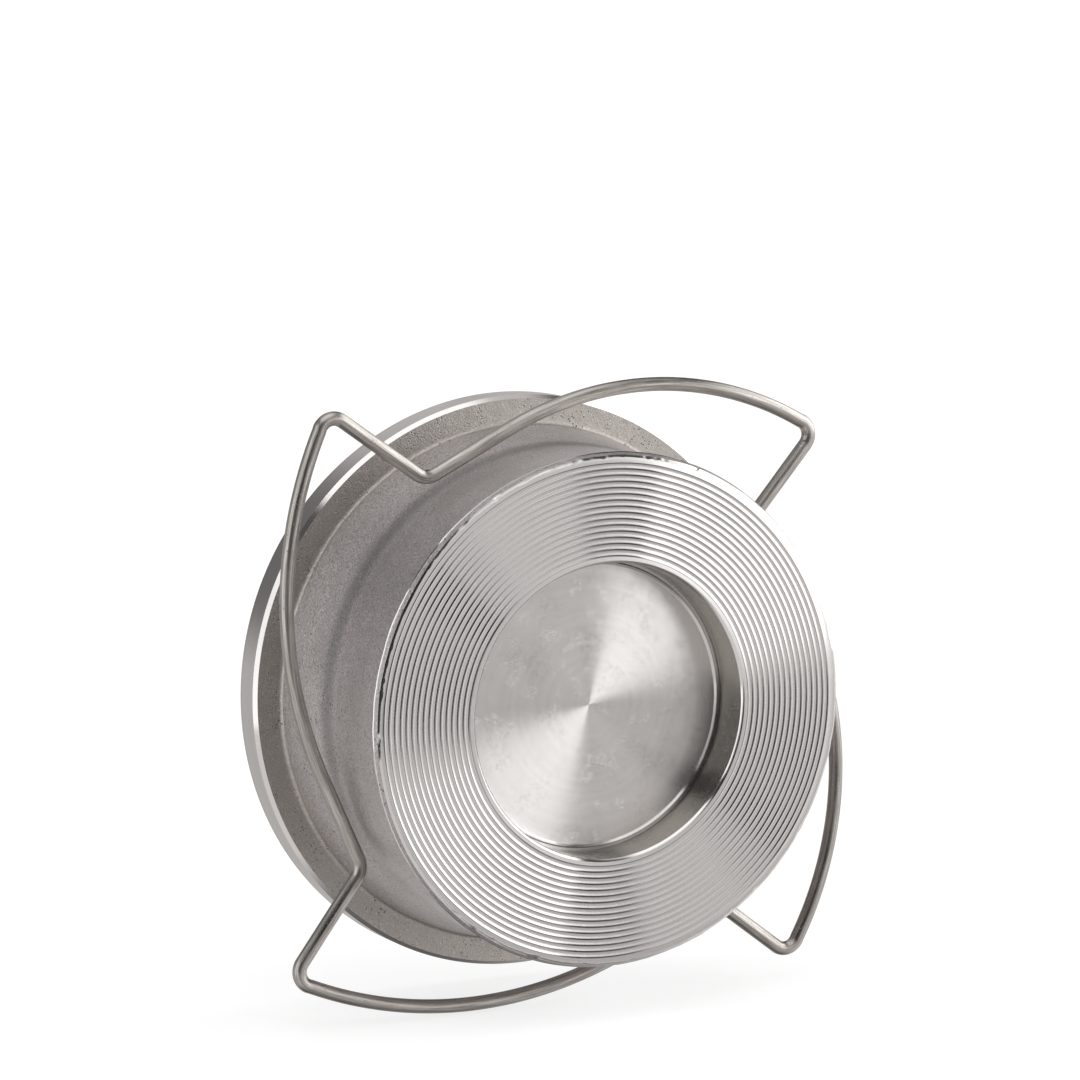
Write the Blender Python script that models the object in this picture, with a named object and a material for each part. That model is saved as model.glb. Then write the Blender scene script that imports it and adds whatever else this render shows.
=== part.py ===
"""Wafer check valve, DN 50, 40 mm face to face, with a spring-closed disc and a wire centring ring.

The flow axis is +Y. The origin is on that axis, halfway between the inlet face (y = -20 mm)
and the outlet face (y = +20 mm). Depths along the axis are measured from the inlet face.
"""

import math

import bmesh
import bpy
from mathutils import Matrix

MM = 0.001
FACE_TO_FACE = 40 * MM
SEGMENTS = 64
SHARP_ANGLE = math.radians(30)
WELD_DISTANCE = 0.001 * MM

# Body: a neck that carries the inlet face, and a flange-like rim at the outlet end.
FACE_RADIUS = 41.3 * MM
LAND_DEPTH = 1.0 * MM
WAIST_RADIUS = 40.7 * MM
WAIST_DEPTH = 16.0 * MM
NECK_END_RADIUS = 42.8 * MM
NECK_FLARE_POWER = 1.5
NECK_FILLET = 0.8 * MM
CAST_STEP = 0.3 * MM
RIM_FRONT_DEPTH = 33.0 * MM
RIM_RADIUS = 47.5 * MM
RIM_CHAMFER = 0.75 * MM
OUTLET_CHAMFER = 1.4 * MM
EDGE_BREAK = 0.3 * MM

# Passage through the body: inlet bore, seat lip, chamber, and the stepped outlet mouth.
BORE_RADIUS = 23.9 * MM
WALL_DEPTH = 6.4 * MM
SEAT_DEPTH = 7.4 * MM
SEAT_RADIUS = 27.0 * MM
CHAMBER_RADIUS = 35.5 * MM
CHAMBER_FILLET = 3.0 * MM
THROAT_RADIUS = 33.4 * MM
THROAT_DEPTH = 33.0 * MM
SHOULDER_DEPTH = 34.6 * MM
MOUTH_RADIUS = 35.0 * MM
GROOVE_RADIUS = 36.6 * MM
GROOVE_DEPTH = 36.0 * MM
GROOVE_WIDTH = 1.5 * MM

# Four cast ribs that guide the disc's edge.
RIB_COUNT = 4
RIB_ANGLE = math.radians(45)
RIB_WIDTH = 5.0 * MM
RIB_INNER_RADIUS = 28.4 * MM
RIB_END_DEPTH = 34.0 * MM
RIB_OVERLAP = 1.2 * MM

# Disc: a turned plate with a low plateau in the bore and a spring collar behind it.
SEAT_GAP = 0.1 * MM
DISC_RADIUS = 28.0 * MM
DISC_THICKNESS = 3.0 * MM
PLATEAU_RADIUS = 23.1 * MM
PLATEAU_HEIGHT = 0.2 * MM
COLLAR_RADIUS = 13.2 * MM
COLLAR_BORE_RADIUS = 10.5 * MM
COLLAR_HEIGHT = 3.5 * MM
DISC_CHAMFER = 0.5 * MM
LIFT = 10.0 * MM

# Spring retainer: a pressed cross whose dished middle centres the spring and stops the disc.
SHEET = 1.2 * MM
UNION_STEP = 0.02 * MM
RETAINER_GAP = 0.1 * MM
ARM_COUNT = 4
ARM_WIDTH = 7.0 * MM
ARM_TIP_RADIUS = 34.7 * MM
HUB_RADIUS = 17.5 * MM
DISH_RADIUS = 13.0 * MM
DISH_TAPER = 0.8 * MM
STOP_GAP = 0.2 * MM
DRAIN_RADIUS = 4.0 * MM

# Closing spring: a compression spring with closed ends.
WIRE_RADIUS = 0.7 * MM
COIL_RADIUS = 14.6 * MM
COIL_TURNS = 6.0
CLOSED_TURNS = 0.9
CLOSED_PITCH = 1.7 * MM
STEPS_PER_TURN = 16

# Retaining ring: an internal snap ring with an eye on each side of its gap.
SNAP_THICKNESS = 1.2 * MM
SNAP_OUTER_RADIUS = 36.3 * MM
SNAP_INNER_RADIUS = 33.4 * MM
SNAP_GAP_ANGLE = math.radians(15)
EYE_RADIUS = 2.6 * MM
EYE_HOLE_RADIUS = 1.1 * MM
EYE_CENTRE_RADIUS = 31.8 * MM
EYE_ANGLE = math.radians(11.5)
EYE_SEGMENTS = 16

# Centring ring: wire bent into four arms that spiral in to the neck.
RING_SIDES = 4
RING_WIRE_RADIUS = 1.15 * MM
RING_DEPTH = 16.9 * MM
RING_OUTER_RADIUS = 63.4 * MM
RING_OUTER_ANGLE = math.radians(41.0)
RING_INNER_RADIUS = 44.4 * MM
RING_INNER_ANGLE = math.radians(36.0)
RING_ARC_RADIUS = 63.6 * MM
RING_TAIL = 16.4 * MM
RING_OUTER_BEND = 2.3 * MM
RING_INNER_BEND = 3.2 * MM
RING_ARC_STEPS = 14
RING_BEND_STEPS = 5
MOST_TAIL_TURN = 1.2
HALVINGS = 60


def polar(radius, angle):
    """A point of the plane across the flow axis: x is its real part and z its imaginary part."""
    return complex(radius * math.cos(angle), radius * math.sin(angle))


def y_at(depth):
    """The y coordinate of a depth below the inlet face."""
    return depth - FACE_TO_FACE / 2


def clear_scene():
    for obj in list(bpy.data.objects):
        bpy.data.objects.remove(obj, do_unlink=True)


def metal(name, colour, roughness):
    material = bpy.data.materials.new(name)
    material.use_nodes = True
    shader = material.node_tree.nodes["Principled BSDF"]
    shader.inputs["Base Color"].default_value = (*colour, 1.0)
    shader.inputs["Metallic"].default_value = 1.0
    shader.inputs["Roughness"].default_value = roughness
    return material


def place(mesh, name, material):
    obj = bpy.data.objects.new(name, mesh)
    bpy.context.scene.collection.objects.link(obj)
    if material:
        mesh.materials.append(material)
    return obj


def finish_mesh(bm, name, material):
    """Turns a bmesh into a named object with outward normals and smooth round faces."""
    bmesh.ops.recalc_face_normals(bm, faces=bm.faces)
    mesh = bpy.data.meshes.new(name)
    bm.to_mesh(mesh)
    bm.free()
    mesh.shade_smooth()
    mesh.set_sharp_from_angle(angle=SHARP_ANGLE)
    return place(mesh, name, material)


def helper(bm, name):
    """A solid that only shapes another one."""
    obj = finish_mesh(bm, name, None)
    obj.hide_render = True
    obj.display_type = "WIRE"
    return obj


def combine(obj, other, operation):
    step = obj.modifiers.new(other.name, "BOOLEAN")
    step.operation = operation
    step.object = other
    step.solver = "EXACT"


def spun(bm, profile, closed):
    """Turns a profile of (radius, depth) points about the flow axis, in the given bmesh."""
    verts = [bm.verts.new((radius, y_at(depth), 0)) for radius, depth in profile]
    edges = [bm.edges.new(pair) for pair in zip(verts, verts[1:])]
    if closed:
        edges.append(bm.edges.new((verts[-1], verts[0])))
    bmesh.ops.spin(
        bm, geom=verts + edges, axis=(0, 1, 0), cent=(0, 0, 0),
        angle=math.tau, steps=SEGMENTS, use_merge=True, use_duplicate=False,
    )
    bmesh.ops.remove_doubles(bm, verts=bm.verts, dist=WELD_DISTANCE)


def revolve(name, profile, material, closed=True):
    bm = bmesh.new()
    spun(bm, profile, closed)
    return finish_mesh(bm, name, material)


def arc(centre, radius, start, end, steps):
    """Points of an arc in a profile's (radius, depth) plane, angles in degrees."""
    angles = [math.radians(start + (end - start) * i / steps) for i in range(steps + 1)]
    return [(centre[0] + radius * math.cos(a), centre[1] + radius * math.sin(a)) for a in angles]


def neck_radius(depth):
    """The cast flank: a shallow waist for the centring ring, then a flare to the rim."""
    if depth < WAIST_DEPTH:
        share = (WAIST_DEPTH - depth) / WAIST_DEPTH
        return WAIST_RADIUS + (FACE_RADIUS - WAIST_RADIUS) * share
    share = (depth - WAIST_DEPTH) / (RIM_FRONT_DEPTH - WAIST_DEPTH)
    return WAIST_RADIUS + (NECK_END_RADIUS - WAIST_RADIUS) * share**NECK_FLARE_POWER


def body_outside():
    """The outer profile, from the inlet face to the outlet face."""
    flare = RIM_FRONT_DEPTH - NECK_FILLET - WAIST_DEPTH
    flank_depths = [LAND_DEPTH + CAST_STEP, WAIST_DEPTH / 2, WAIST_DEPTH]
    flank_depths += [WAIST_DEPTH + flare * share for share in (1 / 3, 2 / 3, 1)]
    points = [(FACE_RADIUS - EDGE_BREAK / 2, 0), (FACE_RADIUS, EDGE_BREAK / 2)]
    points.append((FACE_RADIUS, LAND_DEPTH))
    points += [(neck_radius(depth), depth) for depth in flank_depths]
    points.append((NECK_END_RADIUS + NECK_FILLET, RIM_FRONT_DEPTH))
    points.append((RIM_RADIUS - RIM_CHAMFER, RIM_FRONT_DEPTH + EDGE_BREAK / 2))
    points.append((RIM_RADIUS, RIM_FRONT_DEPTH + RIM_CHAMFER))
    points.append((RIM_RADIUS, FACE_TO_FACE - OUTLET_CHAMFER))
    points.append((RIM_RADIUS - OUTLET_CHAMFER, FACE_TO_FACE))
    return points


def body_inside():
    """The passage, from the outlet face back to the inlet face."""
    groove_end = GROOVE_DEPTH + GROOVE_WIDTH
    wall_fillet_centre = (CHAMBER_RADIUS - CHAMBER_FILLET, WALL_DEPTH + CHAMBER_FILLET)
    points = [
        (MOUTH_RADIUS + EDGE_BREAK, FACE_TO_FACE),
        (MOUTH_RADIUS, FACE_TO_FACE - EDGE_BREAK),
        (MOUTH_RADIUS, groove_end),
        (GROOVE_RADIUS, groove_end),
        (GROOVE_RADIUS, GROOVE_DEPTH),
        (MOUTH_RADIUS, GROOVE_DEPTH),
        (MOUTH_RADIUS, SHOULDER_DEPTH),
        (THROAT_RADIUS, SHOULDER_DEPTH),
        (THROAT_RADIUS, THROAT_DEPTH),
        (CHAMBER_RADIUS, THROAT_DEPTH - CHAMBER_FILLET),
    ]
    points += arc(wall_fillet_centre, CHAMBER_FILLET, 0, -90, 3)
    points += [
        (SEAT_RADIUS, WALL_DEPTH),
        (SEAT_RADIUS, SEAT_DEPTH),
        (BORE_RADIUS + EDGE_BREAK / 2, SEAT_DEPTH),
        (BORE_RADIUS, SEAT_DEPTH - EDGE_BREAK / 2),
        (BORE_RADIUS, EDGE_BREAK),
        (BORE_RADIUS + EDGE_BREAK, 0),
    ]
    return points


def guide_ribs():
    """The four ribs as one hidden helper, sunk into the chamber and front walls."""
    low = y_at(WALL_DEPTH - RIB_OVERLAP)
    high = y_at(RIB_END_DEPTH)
    outer = CHAMBER_RADIUS + RIB_OVERLAP
    half = RIB_WIDTH / 2
    bm = bmesh.new()
    section = ((RIB_INNER_RADIUS, -half), (outer, -half), (outer, half), (RIB_INNER_RADIUS, half))
    for rib in range(RIB_COUNT):
        direction = polar(1, RIB_ANGLE + math.tau * rib / RIB_COUNT)
        corners = []
        for y in (low, high):
            for point in section:
                turned = complex(*point) * direction
                corners.append(bm.verts.new((turned.real, y, turned.imag)))
        bm.faces.new(corners[:4])
        bm.faces.new(corners[4:])
        for i in range(4):
            j = (i + 1) % 4
            bm.faces.new((corners[i], corners[j], corners[j + 4], corners[i + 4]))
    return helper(bm, "guide_ribs")


def valve_body():
    """One casting: rim, neck, seat and guide ribs."""
    steel = metal("machined_casting", (0.62, 0.61, 0.59), 0.35)
    body = revolve("valve_body", body_outside() + body_inside(), steel)
    combine(body, guide_ribs(), "UNION")
    return body


def valve_disc():
    steel = metal("turned_disc", (0.66, 0.65, 0.63), 0.25)
    front = SEAT_DEPTH + SEAT_GAP
    back = front + DISC_THICKNESS
    collar = back + COLLAR_HEIGHT
    profile = [
        (0, front - PLATEAU_HEIGHT),
        (PLATEAU_RADIUS, front - PLATEAU_HEIGHT),
        (PLATEAU_RADIUS + PLATEAU_HEIGHT, front),
        (DISC_RADIUS - DISC_CHAMFER, front),
        (DISC_RADIUS, front + DISC_CHAMFER),
        (DISC_RADIUS, back - DISC_CHAMFER),
        (DISC_RADIUS - DISC_CHAMFER, back),
        (COLLAR_RADIUS, back),
        (COLLAR_RADIUS, collar - DISC_CHAMFER),
        (COLLAR_RADIUS - DISC_CHAMFER, collar),
        (COLLAR_BORE_RADIUS, collar),
        (COLLAR_BORE_RADIUS, back),
        (0, back),
    ]
    return revolve("valve_disc", profile, steel, closed=False)


def spring_ends():
    """Depths of the two surfaces that the spring presses on."""
    return SEAT_DEPTH + SEAT_GAP + DISC_THICKNESS, SHOULDER_DEPTH + RETAINER_GAP


def tube_curve(name, points, radius, material, cyclic):
    """Round wire along a line of points."""
    curve = bpy.data.curves.new(name, "CURVE")
    curve.dimensions = "3D"
    curve.bevel_depth = radius
    curve.bevel_resolution = 2
    curve.use_fill_caps = not cyclic
    spline = curve.splines.new("POLY")
    spline.points.add(len(points) - 1)
    for point, position in zip(spline.points, points):
        point.co = (*position, 1)
    spline.use_cyclic_u = cyclic
    spline.use_smooth = True
    curve.materials.append(material)
    obj = bpy.data.objects.new(name, curve)
    bpy.context.scene.collection.objects.link(obj)
    return obj


def closing_spring():
    steel = metal("spring_wire", (0.55, 0.54, 0.52), 0.3)
    disc_side, retainer_side = spring_ends()
    start = disc_side + RETAINER_GAP + WIRE_RADIUS
    end = retainer_side - RETAINER_GAP - WIRE_RADIUS
    closed_rise = CLOSED_TURNS * CLOSED_PITCH
    open_pitch = (end - start - 2 * closed_rise) / (COIL_TURNS - 2 * CLOSED_TURNS)
    points = []
    for step in range(int(COIL_TURNS * STEPS_PER_TURN) + 1):
        turn = step / STEPS_PER_TURN
        first = min(turn, CLOSED_TURNS)
        last = max(turn - (COIL_TURNS - CLOSED_TURNS), 0)
        middle = turn - first - last
        depth = start + (first + last) * CLOSED_PITCH + middle * open_pitch
        angle = math.tau * turn
        points.append((COIL_RADIUS * math.cos(angle), y_at(depth), COIL_RADIUS * math.sin(angle)))
    return tube_curve("closing_spring", points, WIRE_RADIUS, steel, cyclic=False)


def retainer_arms():
    """The cross of four arms as one hidden helper, in the plane of the hub's flat."""
    low = y_at(SHOULDER_DEPTH + RETAINER_GAP)
    root = (HUB_RADIUS + DISH_RADIUS) / 2
    tip_half = math.asin(ARM_WIDTH / 2 / ARM_TIP_RADIUS)
    section = [complex(root, -ARM_WIDTH / 2), complex(root, ARM_WIDTH / 2)]
    section += [polar(ARM_TIP_RADIUS, tip_half * share) for share in (1, 0.5, 0, -0.5, -1)]
    bm = bmesh.new()
    for arm in range(ARM_COUNT):
        direction = polar(1, RIB_ANGLE + math.tau * arm / ARM_COUNT)
        turned = [point * direction for point in section]
        face = bm.faces.new([bm.verts.new((point.real, low, point.imag)) for point in turned])
        extruded = bmesh.ops.extrude_face_region(bm, geom=[face])
        moved = [item for item in extruded["geom"] if isinstance(item, bmesh.types.BMVert)]
        bmesh.ops.translate(bm, verts=moved, vec=(0, SHEET, 0))
    return helper(bm, "retainer_arms")


def spring_retainer():
    steel = metal("pressed_sheet", (0.6, 0.59, 0.57), 0.35)
    flat = SHOULDER_DEPTH + RETAINER_GAP
    collar_end = spring_ends()[0] + COLLAR_HEIGHT
    dish = collar_end + LIFT + STOP_GAP
    narrow = DISH_RADIUS - DISH_TAPER
    profile = [
        (DRAIN_RADIUS, dish),
        (narrow - SHEET, dish),
        (narrow, dish + SHEET),
        (DISH_RADIUS, flat + UNION_STEP),
        (HUB_RADIUS, flat + UNION_STEP),
        (HUB_RADIUS, flat + SHEET - UNION_STEP),
        (DISH_RADIUS - SHEET, flat + SHEET - UNION_STEP),
        (narrow - SHEET, dish + 2 * SHEET),
        (narrow - 2 * SHEET, dish + SHEET),
        (DRAIN_RADIUS, dish + SHEET),
    ]
    hub = revolve("spring_retainer", profile, steel)
    combine(hub, retainer_arms(), "UNION")
    return hub


def retaining_ring():
    """The gap is at the top, between two eyes for circlip pliers."""
    steel = metal("snap_ring_steel", (0.45, 0.44, 0.43), 0.3)
    low = y_at(GROOVE_DEPTH + (GROOVE_WIDTH - SNAP_THICKNESS) / 2)
    middle = math.pi / 2
    start = middle + SNAP_GAP_ANGLE / 2
    sweep = math.tau - SNAP_GAP_ANGLE
    bm = bmesh.new()
    outer = []
    inner = []
    for i in range(SEGMENTS + 1):
        direction = polar(1, start + sweep * i / SEGMENTS)
        for radius, row in ((SNAP_OUTER_RADIUS, outer), (SNAP_INNER_RADIUS, inner)):
            row.append(bm.verts.new((radius * direction.real, low, radius * direction.imag)))
    for i in range(SEGMENTS):
        bm.faces.new((outer[i], outer[i + 1], inner[i + 1], inner[i]))
    extruded = bmesh.ops.extrude_face_region(bm, geom=bm.faces[:])
    moved = [item for item in extruded["geom"] if isinstance(item, bmesh.types.BMVert)]
    bmesh.ops.translate(bm, verts=moved, vec=(0, SNAP_THICKNESS, 0))
    ring = finish_mesh(bm, "retaining_ring", steel)
    for number, side in enumerate((-1, 1)):
        centre = polar(EYE_CENTRE_RADIUS, middle + side * EYE_ANGLE)
        spot = (centre.real, low + SNAP_THICKNESS / 2, centre.imag)
        for operation, radius, height in (
            ("UNION", EYE_RADIUS, SNAP_THICKNESS - 2 * UNION_STEP),
            ("DIFFERENCE", EYE_HOLE_RADIUS, SNAP_THICKNESS * 2),
        ):
            tool = ring_eye_tool(f"eye_{operation.lower()}_{number}", spot, radius, height)
            combine(ring, tool, operation)
    return ring


def ring_eye_tool(name, centre, radius, height):
    """A short hidden cylinder along the flow axis."""
    bm = bmesh.new()
    bmesh.ops.create_cone(
        bm, cap_ends=True, segments=EYE_SEGMENTS, radius1=radius, radius2=radius, depth=height,
    )
    bmesh.ops.rotate(bm, verts=bm.verts, matrix=Matrix.Rotation(-math.pi / 2, 3, "X"))
    tool = helper(bm, name)
    tool.location = centre
    return tool


def tangent_arc(outer, inner):
    """The long side: an arc that leaves the outer corner and runs straight for its last stretch."""
    chord = inner - outer
    low = math.atan2(chord.imag, chord.real)
    high = low + MOST_TAIL_TURN

    def miss(direction):
        heading = polar(1, direction)
        centre = inner - RING_TAIL * heading + RING_ARC_RADIUS * 1j * heading
        return abs(outer - centre) - RING_ARC_RADIUS

    rising = miss(high) > miss(low)
    for _ in range(HALVINGS):
        middle = (low + high) / 2
        if (miss(middle) > 0) == rising:
            high = middle
        else:
            low = middle
    heading = polar(1, low)
    end = inner - RING_TAIL * heading
    return end, end + RING_ARC_RADIUS * 1j * heading


def bend(corner, before, after, radius, steps):
    """A corner rounded to a radius: points of the arc that touches both legs."""
    into = (before - corner) / abs(before - corner)
    out = (after - corner) / abs(after - corner)
    half = math.acos(max(-1, min(1, (into * out.conjugate()).real))) / 2
    reach = radius / math.tan(half)
    middle = (into + out) / abs(into + out)
    centre = corner + middle * radius / math.sin(half)
    first = corner + into * reach - centre
    last = corner + out * reach - centre
    turn = math.atan2((last / first).imag, (last / first).real)
    return [centre + first * polar(1, turn * i / steps) for i in range(steps + 1)]


def ring_side_points(side):
    """One quarter: outer bend, long arc, inner bend. The short leg follows by itself."""
    quarter = math.tau / RING_SIDES
    outer = polar(RING_OUTER_RADIUS, RING_OUTER_ANGLE + side * quarter)
    start = polar(RING_INNER_RADIUS, RING_INNER_ANGLE + side * quarter)
    inner = polar(RING_INNER_RADIUS, RING_INNER_ANGLE + (side + 1) * quarter)
    following = polar(RING_OUTER_RADIUS, RING_OUTER_ANGLE + (side + 1) * quarter)
    end, centre = tangent_arc(outer, inner)
    spread = (end - centre) / (outer - centre)
    sweep = math.atan2(spread.imag, spread.real)
    turns = [sweep * i / RING_ARC_STEPS for i in range(1, RING_ARC_STEPS + 1)]
    along = [centre + (outer - centre) * polar(1, turn) for turn in turns]
    points = bend(outer, start, along[0], RING_OUTER_BEND, RING_BEND_STEPS)
    points += along[1:]
    points += bend(inner, end, following, RING_INNER_BEND, RING_BEND_STEPS)
    return points


def centring_ring():
    steel = metal("ring_wire", (0.5, 0.48, 0.46), 0.3)
    points = []
    for side in range(RING_SIDES):
        points += [(p.real, 0, p.imag) for p in ring_side_points(side)]
    ring = tube_curve("centring_ring", points, RING_WIRE_RADIUS, steel, cyclic=True)
    ring.location = (0, y_at(RING_DEPTH), 0)
    return ring


def build():
    clear_scene()
    valve_body()
    valve_disc()
    closing_spring()
    spring_retainer()
    retaining_ring()
    centring_ring()


build()
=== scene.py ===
"""Blender scene for the DN 50 wafer check valve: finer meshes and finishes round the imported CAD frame.

The flow axis is +Y. Lengths that start from a millimetre value are multiplied by MM.
Depths are measured along the axis from the inlet face.
"""

import math

import bmesh
import bpy
from mathutils import Matrix, Vector, noise

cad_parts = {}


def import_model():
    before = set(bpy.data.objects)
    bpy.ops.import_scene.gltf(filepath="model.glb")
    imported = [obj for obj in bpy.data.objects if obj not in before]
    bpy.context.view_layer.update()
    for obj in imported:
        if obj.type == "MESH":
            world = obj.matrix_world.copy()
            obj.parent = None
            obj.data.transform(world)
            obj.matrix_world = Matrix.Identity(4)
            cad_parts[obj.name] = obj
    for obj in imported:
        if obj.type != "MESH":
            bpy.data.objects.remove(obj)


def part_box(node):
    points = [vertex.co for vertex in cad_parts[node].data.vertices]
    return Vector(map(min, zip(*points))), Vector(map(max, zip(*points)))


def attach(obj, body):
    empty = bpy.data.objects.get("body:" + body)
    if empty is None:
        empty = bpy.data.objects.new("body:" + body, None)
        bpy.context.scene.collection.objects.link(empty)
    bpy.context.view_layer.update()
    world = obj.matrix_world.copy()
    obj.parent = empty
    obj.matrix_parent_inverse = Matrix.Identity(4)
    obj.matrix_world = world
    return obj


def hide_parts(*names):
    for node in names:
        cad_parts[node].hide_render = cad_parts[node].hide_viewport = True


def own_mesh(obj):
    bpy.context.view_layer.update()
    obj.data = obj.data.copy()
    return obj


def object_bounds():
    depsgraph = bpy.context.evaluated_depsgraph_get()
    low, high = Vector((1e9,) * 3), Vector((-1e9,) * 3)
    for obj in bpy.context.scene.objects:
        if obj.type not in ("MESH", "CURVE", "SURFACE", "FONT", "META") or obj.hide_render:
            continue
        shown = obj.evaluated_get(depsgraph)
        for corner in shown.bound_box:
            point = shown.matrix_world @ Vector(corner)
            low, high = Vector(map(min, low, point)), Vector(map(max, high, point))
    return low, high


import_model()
CAD_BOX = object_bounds()

MM = 0.001
SEGMENTS = 384
SHARP_ANGLE = math.radians(28)
BEVEL_ANGLE = math.radians(35)
FLOW_AXIS = Vector((0, 1, 0))

# Body casting, outside. A pair of numbers is a radius and a depth.
LAND_RADIUS = 41.42
LAND_DEPTH = 1.12
WAIST_RADIUS = 40.7
WAIST_DEPTH = 16.0
NECK_END_RADIUS = 42.8
NECK_FLARE_POWER = 1.5
NECK_FILLET = 0.8
CAST_STEP = 0.3
RIM_FRONT_DEPTH = 33.0
RIM_RADIUS = 47.5
RIM_CHAMFER = 0.75
RIM_DISH = 0.15
OUTLET_CHAMFER = 1.4
FACE_TO_FACE = 40.0
FACE_EDGE = ((40.05, 0.05), (40.62, 0.05), (40.73, 0.135), (40.97, 0.24))
CAST_EDGE = (41.3, 1.0)

# The machined face sits a little off the centre of the casting, towards -x. The offset fades out with
# depth.
CAST_SHIFT = 0.25
CAST_SHIFT_END = 12.0

# How far the broken edge of the face wanders, and how far its burrs stand out.
FACE_WANDER = 0.14
FACE_BURR = 0.5
EDGE_WANDER = 0.05
EDGE_WANDER_DEPTH = 0.03
EDGE_BURR_DEPTH = 0.25
BURR_GAP = 0.15

# The land behind the edge is ragged and a little deeper at the top. The flank has slight waves.
LAND_WANDER = 0.2
LAND_RAGGED = 0.1
LAND_DROP = 0.4
LAND_DROP_START = 0.5
WAVE_HEIGHT = 0.09
DIMPLE_HEIGHT = 0.035

# Body casting, passage.
BORE_RADIUS = 23.9
BORE_CHAMFER = 0.3
BORE_EDGE = ((BORE_RADIUS, 0.4), (24.08, 0.14), (24.34, 0.0))
WALL_DEPTH = 6.4
SEAT_DEPTH = 7.4
SEAT_RADIUS = 27.0
CHAMBER_RADIUS = 35.5
CHAMBER_FILLET = 3.0
THROAT_RADIUS = 33.4
THROAT_DEPTH = 33.0
SHOULDER_DEPTH = 34.6
MOUTH_RADIUS = 35.0
SNAP_GROOVE_RADIUS = 36.6
SNAP_GROOVE_DEPTH = 36.0
SNAP_GROOVE_WIDTH = 1.5
RIB_WIDTH = 5.0
RIB_INNER_RADIUS = 28.4
RIB_END_DEPTH = 34.0
RIB_OVERLAP = 1.2
RIB_ROUND = 0.7
QUARTERS = 4
ARM_ANGLE = math.radians(45)

# Concentric grooves turned into both sealing faces.
# Each pair is the radius where the first groove starts and the number of grooves.
GROOVE_PITCH = 0.994
INLET_GROOVES = (25.02, 15)
OUTLET_GROOVES = (36.948, 8)
CREST_HALF = 0.12
CREST_SHADE = 0.57
# The section of one groove: distance from its middle and depth below the crest.
GROOVE_SECTION = ((0.497, 0.0), (0.435, 0.06), (0.37, 0.1), (0.31, 0.122), (0.18, 0.141), (0.0, 0.147))

# Disc.
DISC_RADIUS = 28.0
RECESS_RADIUS = 22.9
LIP_ROUND = 0.25
LIP_WIDTH = 0.2
LIP_SLOPE = 50
LIP_CREST_RADIUS = 23.17
STEP_RADIUS = 23.4
STEP_HEIGHT = 0.3
COLLAR_RADIUS = 13.2
COLLAR_BORE_RADIUS = 10.5
COLLAR_HEIGHT = 3.5
COLLAR_FILLET = 0.3
COLLAR_BORE_CHAMFER = 0.2
DISC_CHAMFER = 0.5

# Spring retainer and retaining ring.
SHEET = 1.2
ARM_WIDTH = 7.0
ARM_TIP_RADIUS = 34.7
HUB_RADIUS = 17.5
ROOT_ROUND = 3.0
CUP_RADIUS = 13.0
CUP_TAPER = 0.8
CUP_ROUND = 0.5
CUP_LIP_ROUND = 0.6
CUP_LIP_LAP = 0.3
CUP_LIP_STEP = 0.2
CUP_LIP_INSET = 0.05
DRAIN_RADIUS = 4.0
RETAINER_BEVEL = 0.15
SNAP_OUTER_RADIUS = 36.3
SNAP_INNER_RADIUS = 33.4
SNAP_GAP_ANGLE = math.radians(15)
EYE_RADIUS = 2.6
EYE_HOLE_RADIUS = 1.1
EYE_CENTRE_RADIUS = 31.8
EYE_ANGLE = math.radians(11.5)
EYE_INSET = 0.02
SNAP_BEVEL = 0.12

# Closing spring.
SPRING_WIRE = 0.7
COIL_RADIUS = 14.6
COIL_TURNS = 6.0
CLOSED_TURNS = 0.9
CLOSED_PITCH = 1.7
COIL_STEPS = 56
SPRING_WIRE_SIDES = 16

# Centring ring.
RING_WIRE = 1.15
# Every side is bent by hand, so no two are quite alike. Outer corner radius and angle, inner corner
# radius and angle, radius of the long arc that follows.
RING_SIDES = (
    (62.1, 41.2, 44.0, 37.8, 57.3),
    (64.1, 40.5, 44.2, 33.8, 68.4),
    (64.2, 41.0, 43.9, 35.1, 71.3),
    (63.2, 41.9, 45.3, 37.5, 57.4),
)
RING_TAIL = 16.4
RING_OUTER_BEND = 2.6
RING_INNER_BEND = 3.2
RING_WIRE_SIDES = 24
ARC_STEPS = 70
BEND_STEPS = 14
TAIL_STEPS = 10
LEG_STEPS = 12
BEND_CLEARANCE = 0.3
SEARCH_RANGE = 1.2
SEARCH_STEPS = 60

INLET_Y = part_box("valve_body")[0].y


def y_at(depth):
    return INLET_Y + depth * MM


def polar(radius, angle):
    """A point across the flow axis: x is its real part, z its imaginary part."""
    return complex(radius * math.cos(angle), radius * math.sin(angle))


def link(mesh, name, materials):
    obj = bpy.data.objects.new(name, mesh)
    bpy.context.scene.collection.objects.link(obj)
    for material in materials:
        mesh.materials.append(material)
    return obj


def finish_mesh(bm, name, materials):
    bmesh.ops.recalc_face_normals(bm, faces=bm.faces)
    mesh = bpy.data.meshes.new(name)
    bm.to_mesh(mesh)
    bm.free()
    mesh.shade_smooth()
    mesh.set_sharp_from_angle(angle=SHARP_ANGLE)
    return link(mesh, name, materials)


def apply_modifiers(obj):
    """Bakes an object's modifiers into its mesh."""
    graph = bpy.context.evaluated_depsgraph_get()
    mesh = bpy.data.meshes.new_from_object(obj.evaluated_get(graph))
    obj.modifiers.clear()
    obj.data = mesh
    mesh.shade_smooth()
    mesh.set_sharp_from_angle(angle=SHARP_ANGLE)


def combine(obj, other, operation):
    """Joins or cuts with another closed mesh, which is then thrown away."""
    step = obj.modifiers.new("combine", "BOOLEAN")
    step.operation = operation
    step.object = other
    step.solver = "EXACT"
    apply_modifiers(obj)
    bpy.data.objects.remove(other, do_unlink=True)


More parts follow.
